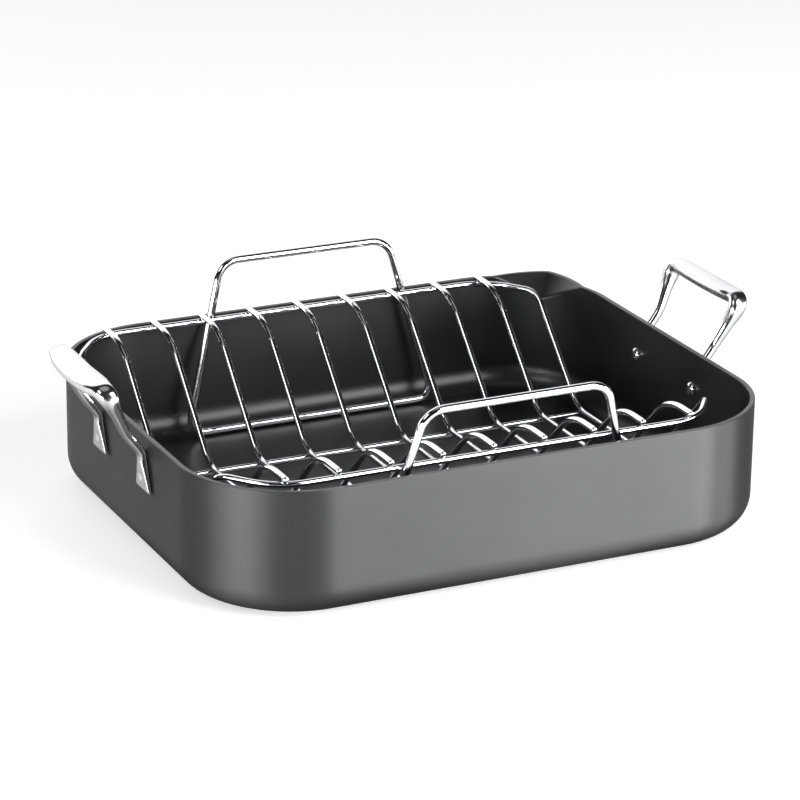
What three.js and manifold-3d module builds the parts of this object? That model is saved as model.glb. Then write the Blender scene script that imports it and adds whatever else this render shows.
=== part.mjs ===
// A roasting pan with two riveted side handles and a lift-out wire rack.
// Millimetres, +Z up. The pan's floor stands on z = 0, its long side runs along X,
// its front wall faces -Y, and its pour spout is in the rear right corner (+X, +Y).
import * as THREE from "three";
import { mergeVertices } from "three/addons/utils/BufferGeometryUtils.js";
import Module from "manifold-3d";

// Pan
const PAN_LENGTH = 406;
const PAN_WIDTH = 341;
const PAN_HEIGHT = 87;
const PAN_CORNER_RADIUS = 77;
const PAN_BOTTOM_RADIUS = 20.5;
const PAN_WALL = 3.5;
const PAN_FLOOR = 3.5;
const RIM_EDGE = 0.6;
const SPOUT_REACH = 17.5;
const SPOUT_DEPTH = 15;
const SPOUT_SPREAD = THREE.MathUtils.degToRad(18);
const SPOUT_TIP_ROUND = THREE.MathUtils.degToRad(5);

// Side handles: heights from the pan's rim and the rivets, distances out from its wall
const HANDLE_GAP = 0.3;
const PAD_BELOW_RIVET = 8.5;
const PAD_HALF_WIDTH = 11;
const PAD_TIP_HALF = 1.4;
const NECK_BELOW_RIM = 10;
const NECK_HALF_DEPTH = 2.6;
const ELBOW_ABOVE_RIM = 3;
const ELBOW_OUT = 13;
const ELBOW_HALF_DEPTH = 3.3;
const LEG_HALF_WIDTH = 3.2;
const LEG_FLARE = 3;
const BOSS_ABOVE_RIM = 36;
const BOSS_OUT = 28.6;
const BOSS_HALF_SPACING = 46.4;
const BOSS_HALF_DEPTH = 6.3;
const BOSS_HALF_HEIGHT = 5.4;
const GRIP_ABOVE_RIM = 33.8;
const GRIP_OUT = 30.4;
const GRIP_HALF_DEPTH = 9.4;
const GRIP_HALF_THICKNESS = 4.9;
const GRIP_TILT = THREE.MathUtils.degToRad(10);
const NECK_BEND = 8;
const ELBOW_BEND = 12;
const BOSS_BEND = 6.5;
const PAD_SQUARENESS = 5;
const BOW_SQUARENESS = 2.7;

// Rivets
const RIVET_SPACING = 77.4;
const RIVET_BELOW_RIM = 27;
const RIVET_SHANK_RADIUS = 3;
const RIVET_HEAD_RADIUS = 5.3;
const RIVET_HEAD_HEIGHT = 3;
const RIVET_END_CROWN = 0.5;
const RIVET_CLEARANCE = 0.3;

// Rack: clearances to the pan, then the wires
const RACK_SHIFT_X = -13;
const RACK_SIDE_CLEARANCE = 10.4;
const RACK_END_CLEARANCE = 22.8;
const LIP_ABOVE_RIM = 5;
const WELD_GAP = 0.3;
const WIRE_RADIUS = 2.1;
const RIB_COUNT = 9;
const RIB_END_GAP = 31.1;
const LIP_LENGTH = 33;
const LIP_BEND = 44;
const TROUGH_HALF_WIDTH = 53.5;
const TROUGH_ABOVE_FLOOR = 17;
const TROUGH_BEND = 27;
const FRAME_CORNER_ALONG = 25;
const FRAME_CORNER_ACROSS = 34;
const FRAME_CORNER_BEND = 40;
const FRAME_END_BEND = 18;
const KEEL_ANGLE = THREE.MathUtils.degToRad(16);

// Rack loops: lifting handle above, foot below
const LOOP_RADIUS = 2.75;
const LOOP_SHIFT_X = 11.5;
const LOOP_ABOVE_RIM = 39;
const LOOP_TOP_HALF = 64;
const LOOP_FOOT_HALF = 96;
const LOOP_TOP_BEND = 16;
const LOOP_FOOT_BEND = 10;

// Fineness of the facets
const CORNER_STEPS = 20;
const FILLET_STEPS = 5;
const SPOUT_STEPS = 5;
const SPOUT_COLUMNS = 5;
const SPOUT_LEAST_RISE = 0.1;
const WIRE_SIDES = 10;
const BEND_STEP = THREE.MathUtils.degToRad(12);
const SECTION_SIDES = 16;
const SECTION_STEP = 10;
const RIVET_SIDES = 20;
const MERGE_DISTANCE = 1e-4;
const STRAIGHT_LIMIT = 1e-6;
const BEND_FIT = 0.999;

const ANODISED = { color: 0x4c4d4e, roughness: 0.5, metalness: 0.6 };
const POLISHED = { color: 0xd8d9db, roughness: 0.12, metalness: 1 };
const CHROMED = { color: 0xdcdde0, roughness: 0.1, metalness: 1 };

const wasm = await Module();
wasm.setup();

// A closed geometry as a solid that can be joined and cut.
function solidOf(geometry) {
  const bare = geometry.clone();
  bare.deleteAttribute("normal");
  bare.deleteAttribute("uv");
  const merged = mergeVertices(bare, MERGE_DISTANCE);
  return new wasm.Manifold(
    new wasm.Mesh({
      numProp: 3,
      vertProperties: merged.attributes.position.array,
      triVerts: new Uint32Array(merged.index.array),
    }),
  );
}

// A solid back as a geometry.
function geometryOf(solid) {
  const mesh = solid.getMesh();
  return new THREE.BufferGeometry()
    .setAttribute("position", new THREE.BufferAttribute(mesh.vertProperties, 3))
    .setIndex(new THREE.BufferAttribute(mesh.triVerts, 1));
}

function addPiece(group, name, geometry, finish) {
  const mesh = new THREE.Mesh(geometry, new THREE.MeshStandardMaterial(finish));
  mesh.name = name;
  group.add(mesh);
}

// A skin over rings of equally many points, flat at both ends.
function loft(rings) {
  const count = rings[0].length;
  const positions = [];
  const index = [];
  for (const ring of rings) {
    for (const point of ring) {
      positions.push(point.x, point.y, point.z);
    }
  }
  for (let row = 0; row + 1 < rings.length; row++) {
    for (let i = 0; i < count; i++) {
      const a = row * count + i;
      const b = row * count + ((i + 1) % count);
      index.push(a, b, b + count, a, b + count, a + count);
    }
  }
  const last = (rings.length - 1) * count;
  for (let i = 1; i + 1 < count; i++) {
    index.push(0, i + 1, i);
    index.push(last, last + i, last + i + 1);
  }
  return new THREE.BufferGeometry()
    .setAttribute("position", new THREE.Float32BufferAttribute(positions, 3))
    .setIndex(index);
}

// Corner points joined by straight runs and round bends. Each point of the result carries
// its station: the number of the corner before it plus its share of the run to the next one.
function bentPath(corners, radii, closed) {
  const count = corners.length;
  const at = (i) => corners[(i + count) % count];
  const runLength = (i) => at(i).distanceTo(at(i + 1));
  const turns = corners.map((corner, i) => {
    if (!closed && (i === 0 || i === count - 1)) {
      return { angle: 0, reach: 0 };
    }
    const into = corner.clone().sub(at(i - 1)).normalize();
    const out = at(i + 1).clone().sub(corner).normalize();
    const angle = into.angleTo(out);
    return { into, out, angle, reach: radii[i] * Math.tan(angle / 2) };
  });
  const turnAt = (i) => turns[(i + count) % count];
  const path = [];
  corners.forEach((corner, i) => {
    const { into, out, angle, reach } = turnAt(i);
    if (reach < STRAIGHT_LIMIT) {
      path.push({ point: corner.clone(), station: i });
      return;
    }
    const before = runLength(i - 1);
    const after = runLength(i);
    const fit = Math.min(1, before / (reach + turnAt(i - 1).reach), after / (reach + turnAt(i + 1).reach));
    const fitted = reach * fit * BEND_FIT;
    const radius = fitted / Math.tan(angle / 2);
    const start = corner.clone().addScaledVector(into, -fitted);
    const inward = out.clone().addScaledVector(into, -out.dot(into)).normalize();
    const steps = Math.ceil(angle / BEND_STEP);
    for (let k = 0; k <= steps; k++) {
      const turn = (angle * k) / steps;
      const point = start
        .clone()
        .addScaledVector(into, radius * Math.sin(turn))
        .addScaledVector(inward, radius * (1 - Math.cos(turn)));
      const share = (2 * k) / steps - 1;
      path.push({ point, station: i + share * (fitted / (share < 0 ? before : after)) });
    }
  });
  return path;
}

// A wire's centre line, with a ring at each of its points and none between.
class WirePath extends THREE.Curve {
  constructor(path, closed) {
    super();
    this.points = path.map((entry) => entry.point);
    this.closed = closed;
    this.runs = closed ? this.points.length : this.points.length - 1;
  }

  pointNumber(i) {
    const count = this.points.length;
    return this.points[this.closed ? (i + count) % count : Math.min(Math.max(i, 0), count - 1)];
  }

  getPointAt(share, target = new THREE.Vector3()) {
    return target.copy(this.pointNumber(Math.round(share * this.runs)));
  }

  getTangentAt(share, target = new THREE.Vector3()) {
    const i = Math.round(share * this.runs);
    const here = this.pointNumber(i);
    const into = here.clone().sub(this.pointNumber(i - 1)).normalize();
    const out = this.pointNumber(i + 1).clone().sub(here).normalize();
    return target.copy(into).add(out).normalize();
  }
}

function openWire(path, radius) {
  const curve = new WirePath(path, false);
  const section = new THREE.Shape().absarc(0, 0, radius, 0, 2 * Math.PI);
  return new THREE.ExtrudeGeometry(section, {
    curveSegments: WIRE_SIDES / 2,
    steps: curve.runs,
    extrudePath: curve,
  });
}

function closedWire(path, radius) {
  const curve = new WirePath(path, true);
  return new THREE.TubeGeometry(curve, curve.runs, radius, WIRE_SIDES, true);
}

// The share of the spout's depth that lies below one height.
function spoutRise(z) {
  return Math.max(0, (z - PAN_HEIGHT + SPOUT_DEPTH) / SPOUT_DEPTH);
}

// How far the spout pushes the corner's wall out: a groove that starts in a point on the
// wall and opens to the rim.
function spoutPush(angle, z) {
  const away = Math.hypot(angle - Math.PI / 4, SPOUT_TIP_ROUND) - SPOUT_TIP_ROUND;
  return SPOUT_REACH * Math.max(0, spoutRise(z) - away / SPOUT_SPREAD);
}

// Where a column of the spout's corner stands: one on each side follows the groove's edge.
function spoutAngle(column, z) {
  const spread = SPOUT_SPREAD * Math.max(spoutRise(z), SPOUT_LEAST_RISE);
  const edge = Math.sqrt(spread * (spread + 2 * SPOUT_TIP_ROUND));
  const fromMiddle = column - CORNER_STEPS / 2;
  const beyond = Math.abs(fromMiddle) - SPOUT_COLUMNS;
  const share = beyond / (CORNER_STEPS / 2 - SPOUT_COLUMNS);
  const inGroove = edge * (1 + beyond / SPOUT_COLUMNS);
  const away = beyond < 0 ? inGroove : THREE.MathUtils.lerp(edge, Math.PI / 4, share);
  return Math.PI / 4 + Math.sign(fromMiddle) * away;
}

// The pan's plan outline at one height, drawn in from the outside by an inset.
function panRing(inset, z) {
  const ring = [];
  for (let corner = 0; corner < 4; corner++) {
    const signX = corner === 0 || corner === 3 ? 1 : -1;
    const signY = corner < 2 ? 1 : -1;
    const centreX = signX * (PAN_LENGTH / 2 - PAN_CORNER_RADIUS);
    const centreY = signY * (PAN_WIDTH / 2 - PAN_CORNER_RADIUS);
    for (let k = 0; k <= CORNER_STEPS; k++) {
      const angle = corner === 0 ? spoutAngle(k, z) : (Math.PI / 2) * (corner + k / CORNER_STEPS);
      const push = corner === 0 ? spoutPush(angle, z) : 0;
      const radius = PAN_CORNER_RADIUS - inset + push;
      ring.push(
        new THREE.Vector3(centreX + radius * Math.cos(angle), centreY + radius * Math.sin(angle), z),
      );
    }
  }
  return ring;
}

// The pressed sheet: up the outside, over the rim and down the inside.
function panShell() {
  const innerRadius = PAN_BOTTOM_RADIUS - PAN_WALL;
  const rimZ = PAN_HEIGHT - RIM_EDGE;
  const spoutFoot = PAN_HEIGHT - SPOUT_DEPTH;
  const wallRows = [];
  for (let k = 0; k <= SPOUT_STEPS; k++) {
    wallRows.push(spoutFoot + ((rimZ - spoutFoot) * k) / SPOUT_STEPS);
  }
  const rings = [];
  for (let k = 0; k <= FILLET_STEPS; k++) {
    const turn = (Math.PI / 2) * (k / FILLET_STEPS);
    rings.push(
      panRing(PAN_BOTTOM_RADIUS * (1 - Math.sin(turn)), PAN_BOTTOM_RADIUS * (1 - Math.cos(turn))),
    );
  }
  wallRows.forEach((z) => rings.push(panRing(0, z)));
  rings.push(panRing(RIM_EDGE, PAN_HEIGHT));
  rings.push(panRing(PAN_WALL - RIM_EDGE, PAN_HEIGHT));
  wallRows.reverse().forEach((z) => rings.push(panRing(PAN_WALL, z)));
  for (let k = 0; k <= FILLET_STEPS; k++) {
    const turn = (Math.PI / 2) * (k / FILLET_STEPS);
    rings.push(
      panRing(PAN_WALL + innerRadius * (1 - Math.cos(turn)), PAN_FLOOR + innerRadius * (1 - Math.sin(turn))),
    );
  }
  return loft(rings);
}

// The handles' heights
const RIVET_Z = PAN_HEIGHT - RIVET_BELOW_RIM;
const PAD_BOTTOM_Z = RIVET_Z - PAD_BELOW_RIVET;
const NECK_Z = PAN_HEIGHT - NECK_BELOW_RIM;
const ELBOW_Z = PAN_HEIGHT + ELBOW_ABOVE_RIM;
const BOSS_Z = PAN_HEIGHT + BOSS_ABOVE_RIM;
const GRIP_Z = PAN_HEIGHT + GRIP_ABOVE_RIM;

// The four rivets' places: which wall, and front or rear.
const RIVETS = [];
for (const [side, signX] of [["left", -1], ["right", 1]]) {
  for (const [end, signY] of [["front", -1], ["rear", 1]]) {
    RIVETS.push({ name: `rivet_${side}_${end}`, signX, y: (signY * RIVET_SPACING) / 2 });
  }
}

// A drill through wall and pad at one rivet.
function rivetHole(rivet) {
  const radius = RIVET_SHANK_RADIUS + RIVET_CLEARANCE;
  const length = 2 * (PAN_WALL + ELBOW_OUT);
  return solidOf(
    new THREE.CylinderGeometry(radius, radius, length, RIVET_SIDES)
      .rotateZ(Math.PI / 2)
      .translate((rivet.signX * PAN_LENGTH) / 2, rivet.y, RIVET_Z),
  );
}

function drilled(geometry, rivets) {
  return geometryOf(rivets.reduce((solid, rivet) => solid.subtract(rivetHole(rivet)), solidOf(geometry)));
}

// More sections on a path's straight runs, so that they can swell and taper.
function withSteps(path, longest) {
  return path.flatMap((entry, i) => {
    const before = path[i - 1];
    if (!before) {
      return [entry];
    }
    const count = Math.max(1, Math.ceil(before.point.distanceTo(entry.point) / longest));
    return Array.from({ length: count }, (_, k) => {
      const share = (k + 1) / count;
      return {
        point: before.point.clone().lerp(entry.point, share),
        station: THREE.MathUtils.lerp(before.station, entry.station, share),
      };
    });
  });
}

// A size at one station of a bow that has the same sizes on its way up and its way down.
// A leg stays slender and flares just under its boss, and a grip swells gently.
function sizeAt(sizes, station) {
  const top = sizes.length - 1;
  const climb = Math.min(station, 2 * top - station);
  const from = Math.min(Math.floor(climb), top - 1);
  const share = climb - from;
  const onLeg = from === top - 2 ? share ** LEG_FLARE : share;
  const eased = from === top - 1 ? THREE.MathUtils.smoothstep(share, 0, 1) : onLeg;
  return THREE.MathUtils.lerp(sizes[from], sizes[from + 1], eased);
}

// A rounded box as one closed outline: a circle for squareness 2, squarer above.
function sectionRing(centre, depthAxis, depth, widthAxis, width, squareness) {
  const rounded = (value) => Math.sign(value) * Math.abs(value) ** (2 / squareness);
  return Array.from({ length: SECTION_SIDES }, (_, k) => {
    const turn = (2 * Math.PI * k) / SECTION_SIDES;
    return centre
      .clone()
      .addScaledVector(depthAxis, depth * rounded(Math.cos(turn)))
      .addScaledVector(widthAxis, width * rounded(Math.sin(turn)));
  });
}

// A cast handle as rounded sections along its bow, from one pad over the grip to the other.
// Its stations are pad foot, neck, elbow, boss, middle of the grip, and the same way back.
function sideHandle(signX) {
  const wallX = PAN_LENGTH / 2;
  const padY = RIVET_SPACING / 2;
  const climb = [
    { out: HANDLE_GAP + PAD_TIP_HALF, y: padY, z: PAD_BOTTOM_Z, bend: 0 },
    { out: HANDLE_GAP + NECK_HALF_DEPTH, y: padY, z: NECK_Z, bend: NECK_BEND },
    { out: ELBOW_OUT, y: padY, z: ELBOW_Z, bend: ELBOW_BEND },
    { out: BOSS_OUT, y: BOSS_HALF_SPACING, z: BOSS_Z, bend: BOSS_BEND },
  ];
  const middle = { out: GRIP_OUT, y: 0, z: GRIP_Z, bend: 0 };
  const descent = climb.toReversed().map((stop) => ({ ...stop, y: -stop.y }));
  const stops = [...climb, middle, ...descent];
  const depths = [PAD_TIP_HALF, NECK_HALF_DEPTH, ELBOW_HALF_DEPTH, BOSS_HALF_DEPTH, GRIP_HALF_DEPTH];
  const widths = [PAD_HALF_WIDTH, LEG_HALF_WIDTH, LEG_HALF_WIDTH, BOSS_HALF_HEIGHT, GRIP_HALF_THICKNESS];
  const squares = [PAD_SQUARENESS, BOW_SQUARENESS, BOW_SQUARENESS, BOW_SQUARENESS, BOW_SQUARENESS];
  const corners = stops.map((stop) => new THREE.Vector3(wallX + stop.out, stop.y, stop.z));
  const bends = stops.map((stop) => stop.bend);
  const path = withSteps(bentPath(corners, bends, false), SECTION_STEP);
  const curve = new WirePath(path, false);
  const across = new THREE.Vector3(Math.cos(GRIP_TILT), 0, -Math.sin(GRIP_TILT));
  const rings = path.map(({ point, station }, i) => {
    const along = curve.getTangentAt(i / curve.runs);
    const depthAxis = across.clone().addScaledVector(along, -across.dot(along)).normalize();
    const widthAxis = along.clone().cross(depthAxis);
    return sectionRing(
      point,
      depthAxis,
      sizeAt(depths, station),
      widthAxis,
      sizeAt(widths, station),
      sizeAt(squares, station),
    );
  });
  const bow = loft(rings);
  if (signX < 0) {
    bow.rotateZ(Math.PI);
  }
  return drilled(bow, RIVETS.filter((rivet) => rivet.signX === signX));
}

// A rivet: domed head inside the pan, shank through wall and pad, low crown on the pad's face.
function rivetBody(rivet) {
  const padShare = (RIVET_Z - PAD_BOTTOM_Z) / (NECK_Z - PAD_BOTTOM_Z);
  const padThickness = 2 * THREE.MathUtils.lerp(PAD_TIP_HALF, NECK_HALF_DEPTH, padShare);
  const shank = RIVET_CLEARANCE + PAN_WALL + HANDLE_GAP + padThickness;
  const profile = [];
  for (let k = 0; k <= FILLET_STEPS; k++) {
    const turn = (Math.PI / 2) * (k / FILLET_STEPS);
    profile.push(
      new THREE.Vector2(RIVET_HEAD_RADIUS * Math.sin(turn), -RIVET_HEAD_HEIGHT * Math.cos(turn)),
    );
  }
  profile.push(new THREE.Vector2(RIVET_SHANK_RADIUS, 0));
  profile.push(new THREE.Vector2(RIVET_SHANK_RADIUS, shank));
  profile.push(new THREE.Vector2(0, shank + RIVET_END_CROWN));
  const seatX = PAN_LENGTH / 2 - PAN_WALL - RIVET_CLEARANCE;
  return new THREE.LatheGeometry(profile, RIVET_SIDES)
    .rotateZ((-rivet.signX * Math.PI) / 2)
    .translate(rivet.signX * seatX, rivet.y, RIVET_Z);
}

// Heights and places that the rack's wires share
const RAIL_Y = PAN_WIDTH / 2 - PAN_WALL - RACK_SIDE_CLEARANCE - WIRE_RADIUS;
const RACK_HALF = PAN_LENGTH / 2 - PAN_WALL - RACK_END_CLEARANCE - WIRE_RADIUS;
const LIP_Z = PAN_HEIGHT + LIP_ABOVE_RIM;
const RAIL_Z = LIP_Z - 2 * WIRE_RADIUS - WELD_GAP;
const TROUGH_Z = PAN_FLOOR + TROUGH_ABOVE_FLOOR;
const RIB_END_Y = RAIL_Y + WIRE_RADIUS;
const HUMP_Y = RIB_END_Y - LIP_LENGTH;

// The trough's straight side, read at one height.
function sideY(z) {
  return TROUGH_HALF_WIDTH + ((HUMP_Y - TROUGH_HALF_WIDTH) * (z - TROUGH_Z)) / (LIP_Z - TROUGH_Z);
}

function rib(x) {
  const corners = [
    [RIB_END_Y, LIP_Z, 0],
    [HUMP_Y, LIP_Z, LIP_BEND],
    [TROUGH_HALF_WIDTH, TROUGH_Z, TROUGH_BEND],
    [-TROUGH_HALF_WIDTH, TROUGH_Z, TROUGH_BEND],
    [-HUMP_Y, LIP_Z, LIP_BEND],
    [-RIB_END_Y, LIP_Z, 0],
  ];
  const points = corners.map(([y, z]) => new THREE.Vector3(x, y, z));
  const bends = corners.map(([, , bend]) => bend);
  return openWire(bentPath(points, bends, false), WIRE_RADIUS);
}

// The frame: rails that round their corners and dip into the trough's shape at both ends.
function rackFrame() {
  const dipY = Math.max(RAIL_Y - FRAME_CORNER_ACROSS, sideY(RAIL_Z));
  const quarter = [
    [RACK_HALF - FRAME_CORNER_ALONG, RAIL_Y, RAIL_Z, FRAME_CORNER_BEND],
    [RACK_HALF, dipY, RAIL_Z, FRAME_END_BEND],
    [RACK_HALF, TROUGH_HALF_WIDTH, TROUGH_Z, TROUGH_BEND],
  ];
  const turned = (signX, signY) => quarter.map(([x, y, z, bend]) => [signX * x, signY * y, z, bend]);
  const corners = [
    ...turned(1, 1),
    ...turned(1, -1).reverse(),
    ...turned(-1, -1),
    ...turned(-1, 1).reverse(),
  ];
  const points = corners.map(([x, y, z]) => new THREE.Vector3(RACK_SHIFT_X + x, y, z));
  const bends = corners.map(([, , , bend]) => bend);
  return closedWire(bentPath(points, bends, true), WIRE_RADIUS);
}

// A keel wire: straight, on the outside of one lower bend of the trough.
function keel(signY) {
  const rise = Math.atan2(LIP_Z - TROUGH_Z, HUMP_Y - TROUGH_HALF_WIDTH);
  const bendStartY = TROUGH_HALF_WIDTH - TROUGH_BEND * Math.tan(rise / 2);
  const reach = TROUGH_BEND + 2 * WIRE_RADIUS + WELD_GAP;
  const y = bendStartY + reach * Math.sin(KEEL_ANGLE);
  const z = TROUGH_Z + TROUGH_BEND - reach * Math.cos(KEEL_ANGLE);
  const halfLength = RACK_HALF + WIRE_RADIUS;
  const ends = [-halfLength, halfLength].map((x) => ({
    point: new THREE.Vector3(RACK_SHIFT_X + x, signY * y, z),
  }));
  return openWire(ends, WIRE_RADIUS);
}

// A loop: foot bar on the pan's floor, legs that lean out past the rail, lifting bar above.
function loop(signY) {
  const footZ = PAN_FLOOR + WELD_GAP + LOOP_RADIUS;
  const footY = PAN_WIDTH / 2 - PAN_BOTTOM_RADIUS;
  const topZ = PAN_HEIGHT + LOOP_ABOVE_RIM;
  const besideRail = RAIL_Y + WIRE_RADIUS + WELD_GAP + LOOP_RADIUS;
  const lean = (besideRail - footY) / (RAIL_Z - footZ);
  const topY = footY + lean * (topZ - footZ);
  const corners = [
    [LOOP_FOOT_HALF, footY, footZ, LOOP_FOOT_BEND],
    [LOOP_TOP_HALF, topY, topZ, LOOP_TOP_BEND],
    [-LOOP_TOP_HALF, topY, topZ, LOOP_TOP_BEND],
    [-LOOP_FOOT_HALF, footY, footZ, LOOP_FOOT_BEND],
  ];
  const centreX = RACK_SHIFT_X + LOOP_SHIFT_X;
  const points = corners.map(([x, y, z]) => new THREE.Vector3(centreX + x, signY * y, z));
  const bends = corners.map(([, , , bend]) => bend);
  return closedWire(bentPath(points, bends, true), LOOP_RADIUS);
}

const roaster = new THREE.Group();
addPiece(roaster, "pan_body", drilled(panShell(), RIVETS), ANODISED);
addPiece(roaster, "side_handle_left", sideHandle(-1), POLISHED);
addPiece(roaster, "side_handle_right", sideHandle(1), POLISHED);
for (const rivet of RIVETS) {
  addPiece(roaster, rivet.name, rivetBody(rivet), POLISHED);
}

const rack = new THREE.Group();
roaster.add(rack);
addPiece(rack, "rack_frame", rackFrame(), CHROMED);
for (let i = 0; i < RIB_COUNT; i++) {
  const share = i / (RIB_COUNT - 1);
  const x = THREE.MathUtils.lerp(RIB_END_GAP - RACK_HALF, RACK_HALF - RIB_END_GAP, share);
  addPiece(rack, `rack_rib_${i + 1}`, rib(RACK_SHIFT_X + x), CHROMED);
}
for (const [side, signY] of [["front", -1], ["rear", 1]]) {
  addPiece(rack, `rack_keel_${side}`, keel(signY), CHROMED);
  addPiece(rack, `rack_loop_${side}`, loop(signY), CHROMED);
}

export default roaster;
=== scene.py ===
import math

import bpy
import numpy as np
from mathutils import Matrix


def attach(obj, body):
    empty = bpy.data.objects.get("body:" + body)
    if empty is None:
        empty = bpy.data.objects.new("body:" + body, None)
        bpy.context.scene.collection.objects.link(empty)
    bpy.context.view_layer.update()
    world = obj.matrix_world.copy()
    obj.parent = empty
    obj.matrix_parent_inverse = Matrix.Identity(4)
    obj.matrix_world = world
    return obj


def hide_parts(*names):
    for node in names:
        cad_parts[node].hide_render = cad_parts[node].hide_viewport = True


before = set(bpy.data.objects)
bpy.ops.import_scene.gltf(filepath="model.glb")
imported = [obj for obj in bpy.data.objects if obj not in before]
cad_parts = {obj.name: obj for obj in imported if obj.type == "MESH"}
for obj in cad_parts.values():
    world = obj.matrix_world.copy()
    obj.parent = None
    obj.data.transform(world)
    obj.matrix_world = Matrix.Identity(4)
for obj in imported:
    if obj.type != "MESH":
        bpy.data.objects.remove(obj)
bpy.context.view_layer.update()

# Pan body: one aluminium sheet, drawn to upright walls over a round bottom edge, with its rim
# trimmed flat and a pour spout pressed into the rear right corner. The outside is hard-anodised to a
# satin dark grey, with painted shade darkening its colour round the bottom edge, and the inside
# carries a black non-stick coat.
MM = 0.001
PAN_HALF_LENGTH = 203 * MM
PAN_HALF_WIDTH = 170.5 * MM
PAN_HEIGHT = 87 * MM
PAN_CORNER = 77 * MM
PAN_BOTTOM_ROUND = 20.5 * MM
PAN_SHEET = 3.5 * MM
RIM_ROUND = 0.7 * MM
SPOUT_REACH = 17 * MM
SPOUT_DEPTH = 15 * MM
SPOUT_SPREAD = math.radians(25)
SPOUT_TIP = math.radians(1.5)
SPOUT_SOFT = 0.06
SPOUT_COLUMNS = 121
CORNER_COLUMNS = 41
SIDE_COLUMNS = 24
ANODISED_GREY = (0.078, 0.0783, 0.0785, 1)
ANODISED_WORN = (0.098, 0.0983, 0.0985, 1)
# Painted shade: the near-black colour of the bottom bend, and the height over which it fades into the
# wall's grey.
HEEL_PAINTED_SHADE = (0.018, 0.018, 0.0181, 1)
HEEL_SHADE_TOP = 21 * MM
RIM_GREY = (0.092, 0.0923, 0.0925, 1)
RIM_WORN = (0.118, 0.1183, 0.1185, 1)
COAT_BLACK = (0.005, 0.005, 0.0051, 1)
COAT_FLECK = (0.016, 0.016, 0.0163, 1)
METAL_SHARE = 0.85
GRAIN_HEIGHT = 0.05 * MM


def skin_faces(rows, columns):
    """Quads between the neighbouring rows of a grid; each row is a closed ring."""
    across = np.arange(columns)
    low = (np.arange(rows - 1)[:, None] * columns + across).ravel()
    after = (np.arange(rows - 1)[:, None] * columns + (across + 1) % columns).ravel()
    return np.stack([low, after, after + columns, low + columns], axis=1)


def new_piece(name, points, faces, materials, face_slots=None):
    """A smooth-shaded mesh object at the origin, with its place in its points."""
    mesh = bpy.data.meshes.new(name)
    mesh.from_pydata(points.reshape(-1, 3).tolist(), [], faces)
    for material in materials:
        mesh.materials.append(material)
    if face_slots is not None:
        mesh.polygons.foreach_set("material_index", np.asarray(face_slots, np.int32))
    mesh.polygons.foreach_set("use_smooth", np.ones(len(mesh.polygons), bool))
    mesh.update()
    piece = bpy.data.objects.new(name, mesh)
    bpy.context.scene.collection.objects.link(piece)
    return piece


def capped_skin(grid):
    """Points and faces of a grid of closed rings whose first and last ring shrink to one point each."""
    rows, columns = grid.shape[:2]
    inner = grid[1:-1].reshape(-1, 3)
    points = np.vstack([grid[0, 0], inner, grid[-1, 0]])
    quads = skin_faces(rows - 2, columns) + 1
    ring = np.arange(columns)
    after = (ring + 1) % columns
    top = 1 + (rows - 3) * columns
    first = np.stack([np.zeros(columns, int), after + 1, ring + 1], axis=1)
    last = np.stack([np.full(columns, len(points) - 1), top + ring, top + after], axis=1)
    return points, first.tolist() + quads.tolist() + last.tolist()


def new_material(name):
    """A node material with its Principled shader; returns the material, its tree and the shader."""
    material = bpy.data.materials.new(name)
    material.use_nodes = True
    tree = material.node_tree
    return material, tree, tree.nodes["Principled BSDF"]


def add_node(tree, kind, **settings):
    """A shader node with its settings."""
    node = tree.nodes.new(kind)
    for key, value in settings.items():
        setattr(node, key, value)
    return node


def new_group(name, inputs, outputs):
    """An empty shader node group with named float and colour sockets."""
    group = bpy.data.node_groups.new(name, "ShaderNodeTree")
    for label, kind, value in inputs:
        socket = group.interface.new_socket(label, in_out="INPUT", socket_type=kind)
        if value is not None:
            socket.default_value = value
    for label, kind in outputs:
        group.interface.new_socket(label, in_out="OUTPUT", socket_type=kind)
    return group, group.nodes.new("NodeGroupInput"), group.nodes.new("NodeGroupOutput")


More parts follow.
